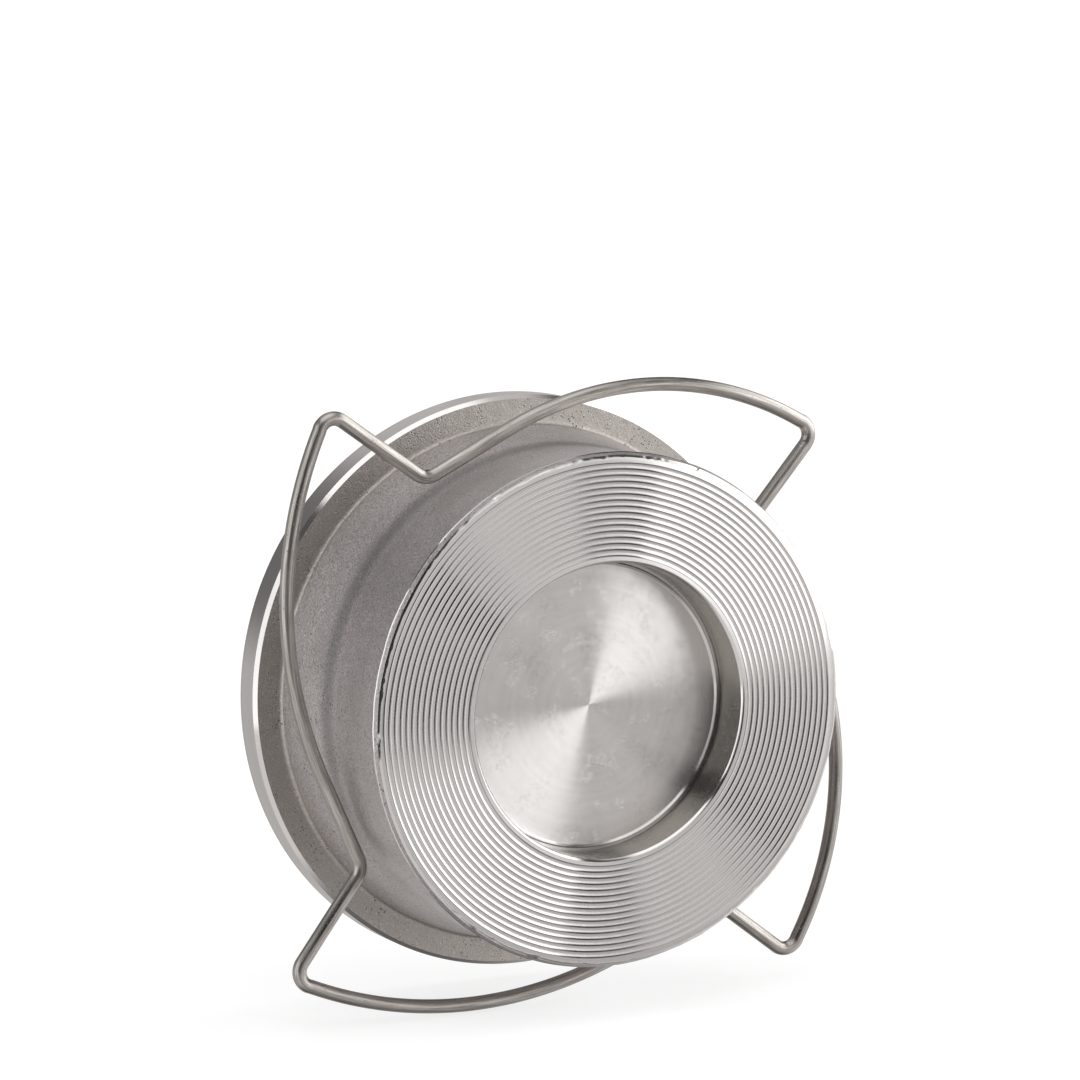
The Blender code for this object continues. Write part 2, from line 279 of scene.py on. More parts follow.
def bevel(obj, width, segments=2):
    step = obj.modifiers.new("bevel", "BEVEL")
    step.width = width * MM
    step.segments = segments
    step.limit_method = "ANGLE"
    step.angle_limit = BEVEL_ANGLE
    apply_modifiers(obj)


# ---------------------------------------------------------------- revolved pieces


def arc(centre, radius, start, end, steps):
    """Points of an arc in the (radius, depth) plane, angles in degrees."""
    angles = [math.radians(start + (end - start) * i / steps) for i in range(steps + 1)]
    return [(centre[0] + radius * math.cos(a), centre[1] + radius * math.sin(a)) for a in angles]


def steps_between(start, end, count):
    """A straight line in the (radius, depth) plane, cut into steps."""
    return [
        (start[0] + (end[0] - start[0]) * i / count, start[1] + (end[1] - start[1]) * i / count)
        for i in range(count + 1)
    ]


def grooves(rows, depth, inward):
    """The grooves of a sealing face from the outermost crest to the innermost one."""
    first, count = rows
    section = list(GROOVE_SECTION) + [(-aside, sink) for aside, sink in reversed(GROOVE_SECTION[:-1])]
    points = []
    for number in reversed(range(count)):
        centre = first + (number + 0.5) * GROOVE_PITCH
        for aside, sink in section[1:] if points else section:
            points.append((centre + aside, depth + inward * sink))
    return points


def revolve(name, sections, materials, closed=True, shift=None):
    """Turns a profile about the flow axis. shift moves its points, angle by angle.

    A section is a material and a run of points that starts at the last point of the section before.
    """
    profile = []
    kinds = []
    for kind, points in sections:
        for point in points if not profile else points[1:]:
            profile.append(point)
            kinds.append(kind)
    bm = bmesh.new()
    columns = []
    for column in range(SEGMENTS):
        angle = math.tau * column / SEGMENTS
        row = []
        for i, (radius, depth) in enumerate(profile):
            if radius == 0 and columns:
                row.append(columns[0][i])
                continue
            if shift:
                radius, depth = shift(radius, depth, angle)
            spot = polar(radius * MM, angle)
            row.append(bm.verts.new((spot.real, y_at(depth), spot.imag)))
        columns.append(row)
    count = len(profile)
    for column in range(SEGMENTS):
        here = columns[column]
        there = columns[(column + 1) % SEGMENTS]
        for i in range(count if closed else count - 1):
            j = (i + 1) % count
            corners = []
            for vert in (here[i], here[j], there[j], there[i]):
                if vert not in corners:
                    corners.append(vert)
            if len(corners) > 2:
                face = bm.faces.new(corners)
                face.material_index = kinds[j] if j else kinds[0]
    return finish_mesh(bm, name, materials)


def neck_radius(depth):
    """The cast flank: a shallow waist for the centring ring, then a flare to the rim."""
    if depth < WAIST_DEPTH:
        share = (WAIST_DEPTH - depth) / WAIST_DEPTH
        return WAIST_RADIUS + (LAND_RADIUS - WAIST_RADIUS) * share
    share = (depth - WAIST_DEPTH) / (RIM_FRONT_DEPTH - WAIST_DEPTH)
    return WAIST_RADIUS + (NECK_END_RADIUS - WAIST_RADIUS) * share**NECK_FLARE_POWER


# The three finishes of the body, in the order of its materials.
MACHINED, CAST, BORED = 0, 1, 2


def outside_sections(rim_edge):
    """The broken edge of the inlet face, and the cast flank up to the edge of the rim."""
    flank_start = LAND_DEPTH + CAST_STEP
    flank_end = RIM_FRONT_DEPTH - NECK_FILLET
    flank_steps = 44
    flank = [(LAND_RADIUS, LAND_DEPTH)]
    for i in range(flank_steps + 1):
        depth = flank_start + (flank_end - flank_start) * i / flank_steps
        flank.append((neck_radius(depth), depth))
    neck_root = flank[-1][0]
    fillet = arc((neck_root + NECK_FILLET, flank_end), NECK_FILLET, 180, 90, steps=6)
    return [
        (MACHINED, list(FACE_EDGE)),
        (CAST, steps_between(FACE_EDGE[-1], CAST_EDGE, count=3)),
        (MACHINED, [CAST_EDGE, flank[0]]),
        (CAST, flank),
        (CAST, fillet),
        (CAST, steps_between(fillet[-1], rim_edge, count=8)),
    ]


def rim_sections(rim_edge):
    """The turned rim and the grooved outlet face."""
    side_start = (RIM_RADIUS, RIM_FRONT_DEPTH + RIM_CHAMFER)
    side_end = (RIM_RADIUS, FACE_TO_FACE - OUTLET_CHAMFER)
    face_start = (RIM_RADIUS - OUTLET_CHAMFER, FACE_TO_FACE)
    return [
        (MACHINED, [rim_edge, side_start]),
        (MACHINED, steps_between(side_start, side_end, count=4)),
        (MACHINED, [side_end, face_start]),
        (MACHINED, [face_start] + grooves(OUTLET_GROOVES, FACE_TO_FACE, -1)),
    ]


def mouth_points():
    """The machined mouth: the groove of the retaining ring and the shoulder of the retainer."""
    groove_end = SNAP_GROOVE_DEPTH + SNAP_GROOVE_WIDTH
    return [
        (OUTLET_GROOVES[0], FACE_TO_FACE),
        (MOUTH_RADIUS + BORE_CHAMFER, FACE_TO_FACE),
        (MOUTH_RADIUS, FACE_TO_FACE - BORE_CHAMFER),
        (MOUTH_RADIUS, groove_end),
        (SNAP_GROOVE_RADIUS, groove_end),
        (SNAP_GROOVE_RADIUS, SNAP_GROOVE_DEPTH),
        (MOUTH_RADIUS, SNAP_GROOVE_DEPTH),
        (MOUTH_RADIUS, SHOULDER_DEPTH),
        (THROAT_RADIUS, SHOULDER_DEPTH),
        (THROAT_RADIUS, THROAT_DEPTH),
    ]


def passage_sections():
    """The passage from the mouth through the cast chamber and the seat to the inlet face."""
    chamber_end = (CHAMBER_RADIUS, THROAT_DEPTH - CHAMBER_FILLET)
    fillet_centre = (CHAMBER_RADIUS - CHAMBER_FILLET, WALL_DEPTH + CHAMBER_FILLET)
    fillet_start = (CHAMBER_RADIUS, fillet_centre[1])
    fillet_end = (fillet_centre[0], WALL_DEPTH)
    seat_start = (SEAT_RADIUS, WALL_DEPTH)
    seat_chamfer = BORE_CHAMFER / 2
    bore_end = (BORE_RADIUS, SEAT_DEPTH - seat_chamfer)
    seat = [seat_start, (SEAT_RADIUS, SEAT_DEPTH), (BORE_RADIUS + seat_chamfer, SEAT_DEPTH), bore_end]
    return [
        (MACHINED, mouth_points()),
        (CAST, steps_between((THROAT_RADIUS, THROAT_DEPTH), chamber_end, count=3)),
        (CAST, steps_between(chamber_end, fillet_start, count=14)),
        (CAST, arc(fillet_centre, CHAMBER_FILLET, 0, -90, steps=8)),
        (CAST, steps_between(fillet_end, seat_start, count=4)),
        (MACHINED, seat),
        (BORED, steps_between(bore_end, BORE_EDGE[0], count=3)),
        (MACHINED, list(BORE_EDGE)),
        (MACHINED, [BORE_EDGE[-1]] + list(reversed(grooves(INLET_GROOVES, 0, 1)))),
    ]


def body_sections():
    rim_edge = (RIM_RADIUS - RIM_CHAMFER + RIM_DISH, RIM_FRONT_DEPTH + RIM_DISH)
    return outside_sections(rim_edge) + rim_sections(rim_edge) + passage_sections()


def bumps(angle, fineness, layer):
    """Random heights round the flow axis, about -1 to 1. A higher fineness puts them closer together."""
    spot = polar(fineness, angle)
    return noise.noise(Vector((spot.real, spot.imag, layer)))


def uneven_edge(radius, depth, angle):
    """The broken edge of the face, which wanders and has burrs."""
    wander = bumps(angle, fineness=12, layer=8)
    burr = max(0, bumps(angle, fineness=48, layer=6) - BURR_GAP)
    if depth < FACE_EDGE[-1][1]:
        return radius - FACE_WANDER * wander - FACE_BURR * burr, depth
    return radius - EDGE_WANDER * wander, depth + EDGE_WANDER_DEPTH * wander + EDGE_BURR_DEPTH * burr


def uneven_land(radius, depth, angle):
    """The ragged land behind the edge, deeper at the top."""
    if depth == LAND_DEPTH:
        depth += LAND_DROP * max(0, math.sin(angle) - LAND_DROP_START)
    wander = bumps(angle, fineness=11, layer=3)
    ragged = bumps(angle, fineness=70, layer=5)
    return radius, depth + LAND_WANDER * wander + LAND_RAGGED * ragged


def cast_unevenness(radius, depth, angle):
    """Sets the casting off centre, gives its flank slight waves and the edge of the face burrs."""
    if radius < FACE_EDGE[1][0] or depth >= RIM_FRONT_DEPTH + RIM_DISH / 2:
        return radius, depth
    radius += CAST_SHIFT * (1 + math.cos(angle)) * max(0, 1 - depth / CAST_SHIFT_END)
    if depth <= FACE_EDGE[-1][1]:
        return uneven_edge(radius, depth, angle)
    if depth <= LAND_DEPTH + CAST_STEP:
        return uneven_land(radius, depth, angle)
    wave = bumps(angle, fineness=3, layer=depth * 0.12)
    dimple = bumps(angle, fineness=14, layer=depth * 0.5)
    return radius + WAVE_HEIGHT * wave + DIMPLE_HEIGHT * dimple, depth


def guide_ribs(material):
    low = y_at(WALL_DEPTH - RIB_OVERLAP)
    high = y_at(RIB_END_DEPTH)
    outer = CHAMBER_RADIUS + RIB_OVERLAP
    bm = bmesh.new()
    for rib in range(QUARTERS):
        direction = polar(1, ARM_ANGLE + math.tau * rib / QUARTERS)
        made = bmesh.ops.create_cube(bm, size=1)["verts"]
        for vert in made:
            along = RIB_INNER_RADIUS if vert.co.x < 0 else outer
            across = RIB_WIDTH * vert.co.z
            turned = complex(along, across) * direction * MM
            vert.co = (turned.real, low if vert.co.y < 0 else high, turned.imag)
    obj = finish_mesh(bm, "guide_ribs", [material])
    bevel(obj, RIB_ROUND, 3)
    return obj


def valve_body(machined, cast, bored):
    body = revolve("valve_body_visual", body_sections(), [machined, cast, bored], shift=cast_unevenness)
    ribs = guide_ribs(cast)
    combine(body, ribs, "UNION")
    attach(body, "body")
    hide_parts("valve_body")


def one_material(runs):
    """Sections for a piece whose runs of points all have its only material."""
    return [(0, points) for points in runs]


def disc_front(top, front):
    """The front of the disc: a shallow recess, the raised lip round it, and a step down."""
    slope = math.radians(LIP_SLOPE)
    lip_start = RECESS_RADIUS - LIP_ROUND * math.sin(slope)
    recess = top + LIP_ROUND * (1 - math.cos(slope)) + LIP_WIDTH * math.tan(slope)
    lip = arc((lip_start, recess - LIP_ROUND), LIP_ROUND, 90, 90 - LIP_SLOPE, steps=5)
    return [
        steps_between((0, recess), (lip_start, recess), count=24),
        lip,
        [lip[-1], (LIP_CREST_RADIUS, top), (STEP_RADIUS, front)],
    ]


def disc_back(back, collar):
    """The back of the disc, from its edge over the spring collar to the axis."""
    chamfer = DISC_CHAMFER
    fillet_radius = COLLAR_RADIUS + COLLAR_FILLET
    mouth = COLLAR_BORE_RADIUS + COLLAR_BORE_CHAMFER
    mouth_end = (COLLAR_BORE_RADIUS, collar - COLLAR_BORE_CHAMFER)
    return [
        arc((DISC_RADIUS - chamfer, back - chamfer), chamfer, 0, 90, steps=4),
        [(DISC_RADIUS - chamfer, back), (fillet_radius, back)],
        arc((fillet_radius, back + COLLAR_FILLET), COLLAR_FILLET, -90, -180, steps=3),
        [(COLLAR_RADIUS, back + COLLAR_FILLET), (COLLAR_RADIUS, collar - chamfer)],
        arc((COLLAR_RADIUS - chamfer, collar - chamfer), chamfer, 0, 90, steps=4),
        [(COLLAR_RADIUS - chamfer, collar), (mouth, collar)],
        [(mouth, collar), mouth_end],
        [mouth_end, (COLLAR_BORE_RADIUS, back)],
        steps_between((COLLAR_BORE_RADIUS, back), (0, back), count=8),
    ]


def valve_disc(machined):
    low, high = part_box("valve_disc")
    top = (low.y - INLET_Y) / MM
    collar = (high.y - INLET_Y) / MM
    front = top + STEP_HEIGHT
    back = collar - COLLAR_HEIGHT
    chamfer = DISC_CHAMFER
    edge = [
        [(STEP_RADIUS, front), (DISC_RADIUS - chamfer, front)],
        arc((DISC_RADIUS - chamfer, front + chamfer), chamfer, -90, 0, steps=4),
        [(DISC_RADIUS, front + chamfer), (DISC_RADIUS, back - chamfer)],
    ]
    sections = one_material(disc_front(top, front) + edge + disc_back(back, collar))
    disc = revolve("valve_disc_visual", sections, [machined], closed=False)
    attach(disc, "disc")
    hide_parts("valve_disc")


# ---------------------------------------------------------------- wire pieces


def sweep(name, points, radius, sides, closed, material):
    """Round wire along a line of points, with its length and section stored for the material."""
    count = len(points)
    travelled = [0.0]
    for i in range(1, count):
        travelled.append(travelled[-1] + (points[i] - points[i - 1]).length)
    bm = bmesh.new()
    drawn = bm.verts.layers.float_vector.new("drawn")
    uv = bm.loops.layers.uv.new("UVMap")
    rings = []
    for i, point in enumerate(points):
        before = points[i - 1] if closed or i else points[0]
        after = points[(i + 1) % count] if closed or i < count - 1 else points[-1]
        tangent = (after - before).normalized()
        side = tangent.cross(FLOW_AXIS).normalized()
        lift = side.cross(tangent)
        ring = []
        for k in range(sides):
            turn = math.tau * k / sides
            offset = lift * (radius * math.cos(turn)) + side * (radius * math.sin(turn))
            vert = bm.verts.new(point + offset)
            vert[drawn] = (travelled[i], radius * math.cos(turn), radius * math.sin(turn))
            ring.append(vert)
        rings.append(ring)
    for i in range(count if closed else count - 1):
        here, there = rings[i], rings[(i + 1) % count]
        for k in range(sides):
            m = (k + 1) % sides
            face = bm.faces.new((here[k], there[k], there[m], here[m]))
            start = travelled[i]
            end = start + (points[(i + 1) % count] - points[i]).length
            for loop, spot in zip(face.loops, ((start, k), (end, k), (end, k + 1), (start, k + 1))):
                loop[uv].uv = (spot[0] / MM, spot[1] / sides)
    if not closed:
        bm.faces.new(rings[0])
        bm.faces.new(list(reversed(rings[-1])))
    return finish_mesh(bm, name, [material])


def bend(corner, before, after, radius, steps):
    """A corner rounded to a radius: points of the arc that touches both legs."""
    into = (before - corner) / abs(before - corner)
    out = (after - corner) / abs(after - corner)
    half = math.acos(max(-1, min(1, (into * out.conjugate()).real))) / 2
    reach = radius / math.tan(half)
    middle = (into + out) / abs(into + out)
    centre = corner + middle * radius / math.sin(half)
    first = corner + into * reach - centre
    last = corner + out * reach - centre
    turn = math.atan2((last / first).imag, (last / first).real)
    return [centre + first * polar(1, turn * i / steps) for i in range(steps + 1)]


def tangent_arc(outer, inner, radius):
    """The long side's arc from the outer corner, so placed that its straight tail meets the inner one.

    Returns the end of the arc, where the tail starts, and the arc's centre. The tail's direction is
    found by halving a range of directions.
    """
    chord = inner - outer
    low = math.atan2(chord.imag, chord.real)
    high = low + SEARCH_RANGE

    def miss(direction):
        heading = polar(1, direction)
        centre = inner - RING_TAIL * heading + radius * 1j * heading
        return abs(outer - centre) - radius

    rising = miss(high) > miss(low)
    for _ in range(SEARCH_STEPS):
        middle = (low + high) / 2
        if (miss(middle) > 0) == rising:
            high = middle
        else:
            low = middle
    heading = polar(1, low)
    end = inner - RING_TAIL * heading
    return end, end + radius * 1j * heading


def straight(start, end, steps):
    """Points inside a straight line, without its ends."""
    return [start + (end - start) * i / steps for i in range(1, steps)]


def ring_corners(side):
    """The outer and the inner corner of a side, before they are rounded."""
    outer_radius, outer_angle, inner_radius, inner_angle, _ = RING_SIDES[side % QUARTERS]
    quarter = math.radians(90) * side
    outer = polar(outer_radius, math.radians(outer_angle) + quarter)
    inner = polar(inner_radius, math.radians(inner_angle) + quarter)
    return outer, inner


def long_arc(side):
    """The long arc of a side, from the first step after its outer corner to the start of its tail."""
    outer, _ = ring_corners(side)
    _, inner = ring_corners(side + 1)
    radius = RING_SIDES[side % QUARTERS][-1]
    end, centre = tangent_arc(outer, inner, radius)
    spread = (end - centre) / (outer - centre)
    turn = math.atan2(spread.imag, spread.real)
    return [centre + (outer - centre) * polar(1, turn * i / ARC_STEPS) for i in range(1, ARC_STEPS + 1)]


def ring_points():
    """The ring's centre line: on each side an outer bend, long arc, tail, inner bend and leg."""
    points = []
    for side in range(QUARTERS):
        outer, before = ring_corners(side)
        following, inner = ring_corners(side + 1)
        along = long_arc(side)
        first = bend(outer, before, along[0], RING_OUTER_BEND, BEND_STEPS)
        last = bend(inner, along[-1], following, RING_INNER_BEND, BEND_STEPS)
        clear = abs(first[-1] - outer) + BEND_CLEARANCE
        leg_end = bend(following, inner, long_arc(side + 1)[0], RING_OUTER_BEND, BEND_STEPS)[0]
        points += first
        points += [point for point in along if abs(point - outer) > clear]
        points += straight(along[-1], last[0], TAIL_STEPS)
        points += last
        points += straight(last[-1], leg_end, LEG_STEPS)
    return points


def centring_ring(material):
    low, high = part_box("centring_ring")
    plane = (low.y + high.y) / 2
    points = [Vector((p.real * MM, plane, p.imag * MM)) for p in ring_points()]
    ring = sweep("centring_ring_visual", points, RING_WIRE * MM, RING_WIRE_SIDES, True, material)
    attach(ring, "ring")
    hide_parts("centring_ring")


def closing_spring(material):
    low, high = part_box("closing_spring")
    start = low.y + SPRING_WIRE * MM
    end = high.y - SPRING_WIRE * MM
    closed_rise = CLOSED_TURNS * CLOSED_PITCH * MM
    open_pitch = (end - start - 2 * closed_rise) / (COIL_TURNS - 2 * CLOSED_TURNS)
    points = []
    for step in range(int(COIL_TURNS * COIL_STEPS) + 1):
        turn = step / COIL_STEPS
        first = min(turn, CLOSED_TURNS)
        last = max(turn - (COIL_TURNS - CLOSED_TURNS), 0)
        y = start + (first + last) * CLOSED_PITCH * MM + (turn - first - last) * open_pitch
        spot = polar(COIL_RADIUS * MM, math.tau * turn)
        points.append(Vector((spot.real, y, spot.imag)))
    spring = sweep("closing_spring_visual", points, SPRING_WIRE * MM, SPRING_WIRE_SIDES, False, material)
    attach(spring, "body")
    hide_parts("closing_spring")
    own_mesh(spring)


# ---------------------------------------------------------------- sheet pieces


def plate(name, outline, low, thickness, material):
    """A flat plate across the flow axis from a closed outline in millimetres."""
    bm = bmesh.new()
    face = bm.faces.new([bm.verts.new((p.real * MM, low, p.imag * MM)) for p in outline])
    extruded = bmesh.ops.extrude_face_region(bm, geom=[face])
    moved = [item for item in extruded["geom"] if isinstance(item, bmesh.types.BMVert)]
    bmesh.ops.translate(bm, verts=moved, vec=(0, thickness * MM, 0))
    return finish_mesh(bm, name, [material])


def turning(centre, radius, start, end, steps):
    """Points of an arc across the flow axis, angles in radians."""
    return [centre + polar(radius, start + (end - start) * i / steps) for i in range(steps + 1)]


def circle(centre, radius, count):
    return [centre + polar(radius, math.tau * i / count) for i in range(count)]


def retainer_outline():
    """A cross with rounded roots and tips that follow the mouth of the body."""
    right_angle = math.pi / 2
    tip_half = math.asin(ARM_WIDTH / 2 / ARM_TIP_RADIUS)
    across = ARM_WIDTH / 2 + ROOT_ROUND
    along = math.sqrt((HUB_RADIUS + ROOT_ROUND) ** 2 - across**2)
    lean = math.atan2(across, along)
    points = turning(complex(along, -across), ROOT_ROUND, math.pi - lean, right_angle, steps=6)
    points += turning(0, ARM_TIP_RADIUS, -tip_half, tip_half, steps=12)
    points += turning(complex(along, across), ROOT_ROUND, -right_angle, lean - math.pi, steps=6)
    points += turning(0, HUB_RADIUS, lean, right_angle - lean, steps=10)[1:-1]
    outline = []
    for arm in range(QUARTERS):
        direction = polar(1, ARM_ANGLE + math.tau * arm / QUARTERS)
        outline += [point * direction for point in points]
    return outline


def cup_runs(floor_depth, flat):
    """The pressed cup: its floor with a drain hole, its tapered wall, and the lip inside the cross."""
    narrow = CUP_RADIUS - CUP_TAPER
    outer_round = SHEET + CUP_ROUND
    corner = (narrow - outer_round, floor_depth + outer_round)
    wall_end = (CUP_RADIUS - CUP_LIP_STEP, flat + 2 * CUP_LIP_INSET)
    lip_radius = CUP_RADIUS + CUP_LIP_LAP
    lip_front = flat + CUP_LIP_INSET
    lip_back = flat + SHEET - CUP_LIP_INSET
    inner_radius = CUP_RADIUS - SHEET
    lip_centre = (inner_radius + CUP_LIP_ROUND, lip_back - CUP_LIP_ROUND)
    return [
        [(DRAIN_RADIUS, floor_depth), (corner[0], floor_depth)],
        arc(corner, outer_round, -90, 0, steps=8),
        steps_between((narrow, corner[1]), wall_end, count=4),
        [wall_end, (lip_radius, lip_front)],
        [(lip_radius, lip_front), (lip_radius, lip_back)],
        [(lip_radius, lip_back), (lip_centre[0], lip_back)],
        arc(lip_centre, CUP_LIP_ROUND, 90, 180, steps=5),
        steps_between((inner_radius, lip_centre[1]), (narrow - SHEET, corner[1]), count=4),
        arc(corner, CUP_ROUND, 0, -90, steps=5),
        [(corner[0], floor_depth + SHEET), (DRAIN_RADIUS, floor_depth + SHEET)],
    ]


def spring_retainer(material):
    low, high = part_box("spring_retainer")
    floor_depth = (low.y - INLET_Y) / MM
    flat = (high.y - INLET_Y) / MM - SHEET
    cross = plate("spring_retainer_visual", retainer_outline(), y_at(flat), SHEET, material)
    opening = circle(0, CUP_RADIUS - SHEET / 2, count=96)
    cutter = plate("retainer_opening", opening, y_at(flat - 1), SHEET + 2, material)
    combine(cross, cutter, "DIFFERENCE")
    cup = revolve("retainer_cup", one_material(cup_runs(floor_depth, flat)), [material])
    combine(cross, cup, "UNION")
    bevel(cross, RETAINER_BEVEL)
    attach(cross, "body")
    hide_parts("spring_retainer")


def retaining_ring(material):
    low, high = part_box("retaining_ring")
    thickness = (high.y - low.y) / MM
    middle = math.pi / 2
    gap_end = middle + SNAP_GAP_ANGLE / 2
    gap_start = gap_end + math.tau - SNAP_GAP_ANGLE
    outline = turning(0, SNAP_OUTER_RADIUS, gap_end, gap_start, steps=240)
    outline += turning(0, SNAP_INNER_RADIUS, gap_start, gap_end, steps=240)
    ring = plate("retaining_ring_visual", outline, low.y, thickness, material)
    eye_thickness = thickness - 2 * EYE_INSET
    for side in (-1, 1):
        centre = polar(EYE_CENTRE_RADIUS, middle + side * EYE_ANGLE)
        eye_outline = circle(centre, EYE_RADIUS, count=48)
        hole_outline = circle(centre, EYE_HOLE_RADIUS, count=32)
        eye = plate("eye", eye_outline, low.y + EYE_INSET * MM, eye_thickness, material)
        combine(ring, eye, "UNION")
        hole = plate("hole", hole_outline, low.y - MM, thickness + 2, material)
        combine(ring, hole, "DIFFERENCE")
    bevel(ring, SNAP_BEVEL)
    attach(ring, "body")
    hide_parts("retaining_ring")


# ---------------------------------------------------------------- materials


class Nodes:
    """A short way to write a node tree."""

    def __init__(self, tree):
        self.tree = tree

    def node(self, kind):
        return self.tree.nodes.new(kind)

    def feed(self, socket, value):
        """Links a socket to another, or gives it a plain value."""
        if isinstance(value, bpy.types.NodeSocket):
            self.tree.links.new(value, socket)
        else:
            socket.default_value = value

    def math(self, operation, a, b=0.0):
        node = self.node("ShaderNodeMath")
        node.operation = operation
        self.feed(node.inputs[0], a)
        self.feed(node.inputs[1], b)
        return node.outputs[0]

    def product(self, first, *others):
        for other in others:
            first = self.math("MULTIPLY", first, other)
        return first

    def vector(self, operation, a, b=None, scale=None):
        node = self.node("ShaderNodeVectorMath")
        node.operation = operation
        self.feed(node.inputs[0], a)
        if b is not None:
            self.feed(node.inputs[1], b)
        if scale is not None:
            self.feed(node.inputs["Scale"], scale)
        return node.outputs["Vector"]

    def dot(self, vector, axis):
        node = self.node("ShaderNodeVectorMath")
        node.operation = "DOT_PRODUCT"
        self.feed(node.inputs[0], vector)
        self.feed(node.inputs[1], axis)
        return node.outputs["Value"]

    def between(self, share, a, b):
        """A number that goes from a to b as share goes from 0 to 1."""
        node = self.node("ShaderNodeMix")
        node.data_type = "FLOAT"
        for socket, value in zip(node.inputs[0:1] + node.inputs[2:4], (share, a, b)):
            self.feed(socket, value)
        return node.outputs[0]

    def split(self, vector):
        node = self.node("ShaderNodeSeparateXYZ")
        self.feed(node.inputs[0], vector)
        return node.outputs

    def join(self, x, y, z):
        node = self.node("ShaderNodeCombineXYZ")
        for socket, value in zip(node.inputs, (x, y, z)):
            self.feed(socket, value)
        return node.outputs[0]

    def noise(self, vector, scale, detail=2.0, roughness=0.5):
        node = self.node("ShaderNodeTexNoise")
        self.feed(node.inputs["Vector"], vector)
        node.inputs["Scale"].default_value = scale
        node.inputs["Detail"].default_value = detail
        node.inputs["Roughness"].default_value = roughness
        return node.outputs["Fac"]

    def cells(self, vector, scale):
        node = self.node("ShaderNodeTexVoronoi")
        self.feed(node.inputs["Vector"], vector)
        node.inputs["Scale"].default_value = scale
        return node.outputs["Distance"]

    def remap(self, value, low, high, to_low=0.0, to_high=1.0):
        """Goes smoothly from to_low to to_high as the value goes from low to high."""
        node = self.node("ShaderNodeMapRange")
        node.interpolation_type = "SMOOTHSTEP"
        self.feed(node.inputs["Value"], value)
        ends = {"From Min": low, "From Max": high, "To Min": to_low, "To Max": to_high}
        for name, number in ends.items():
            self.feed(node.inputs[name], number)
        return node.outputs["Result"]

    def blend(self, share, a, b):
        node = self.node("ShaderNodeMix")
        node.data_type = "RGBA"
        self.feed(node.inputs["Factor"], share)
        self.feed(node.inputs[6], a)
        self.feed(node.inputs[7], b)
        return node.outputs[2]

    def rise(self, value, edge):
        """0 before a soft edge, given by its start and end, and 1 after it."""
        return self.remap(value, *edge)

    def fall(self, value, edge):
        """1 before a soft edge and 0 after it."""
        return self.remap(value, *edge, 1.0, 0.0)


class Shader(Nodes):
    """The nodes of one metal. Its spot is the place on the object in millimetres."""

    def __init__(self, name):
        self.material = bpy.data.materials.new(name)
        self.material.use_nodes = True
        super().__init__(self.material.node_tree)
        self.surface = self.tree.nodes["Principled BSDF"]
        self.surface.inputs["Metallic"].default_value = 1.0
        spot = self.node("ShaderNodeTexCoord").outputs["Object"]
        self.spot = self.vector("SCALE", spot, scale=1 / MM)

    def bump(self, height, distance, normal=None):
        """A bump whose height of 1 stands for this many millimetres."""
        node = self.node("ShaderNodeBump")
        node.inputs["Strength"].default_value = 1.0
        node.inputs["Distance"].default_value = distance * MM
        self.feed(node.inputs["Height"], height)
        if normal is not None:
            self.feed(node.inputs["Normal"], normal)
        return node.outputs[0]

    def brush(self, spread, **settings):
        """Stretches the highlights across the brushing. The settings are those of a tangent node."""
        tangent = self.node("ShaderNodeTangent")
        for name, value in settings.items():
            setattr(tangent, name, value)
        self.feed(self.surface.inputs["Tangent"], tangent.outputs[0])
        self.surface.inputs["Anisotropic"].default_value = spread
        self.surface.inputs["Anisotropic Rotation"].default_value = 0.25

    def finish(self, colour, roughness, normal):
        self.feed(self.surface.inputs["Base Color"], colour)
        self.feed(self.surface.inputs["Roughness"], roughness)
        self.feed(self.surface.inputs["Normal"], normal)
        return self.material


def tint(red, green, blue):
    return (red, green, blue, 1.0)


def grooved(shader, radius, rows):
    """1 between the first and last crest of a sealing face, else 0."""
    first, count = rows
    last = first + count * GROOVE_PITCH
    return shader.product(
        shader.rise(radius, (first - 0.15, first - 0.1)),
        shader.fall(radius, (last + 0.1, last + 0.15)),
    )


def groove_crests(shader, radius, y):
    """Darkens a thin line along each crest between the grooves of both sealing faces."""
    inlet = -FACE_TO_FACE / 2
    outlet = FACE_TO_FACE / 2
    near_inlet = shader.fall(y, (inlet + 0.3, inlet + 0.4))
    near_outlet = shader.rise(y, (outlet - 0.4, outlet - 0.3))
    on_inlet = shader.product(near_inlet, grooved(shader, radius, INLET_GROOVES))
    on_outlet = shader.product(near_outlet, grooved(shader, radius, OUTLET_GROOVES))
    turns = shader.math("DIVIDE", shader.math("SUBTRACT", radius, INLET_GROOVES[0]), GROOVE_PITCH)
    crest = shader.fall(shader.math("PINGPONG", turns, 0.5), (CREST_HALF / 2, CREST_HALF))
    crest = shader.product(crest, shader.math("ADD", on_inlet, on_outlet))
    return shader.remap(crest, 0.0, 1.0, 1.0, CREST_SHADE)


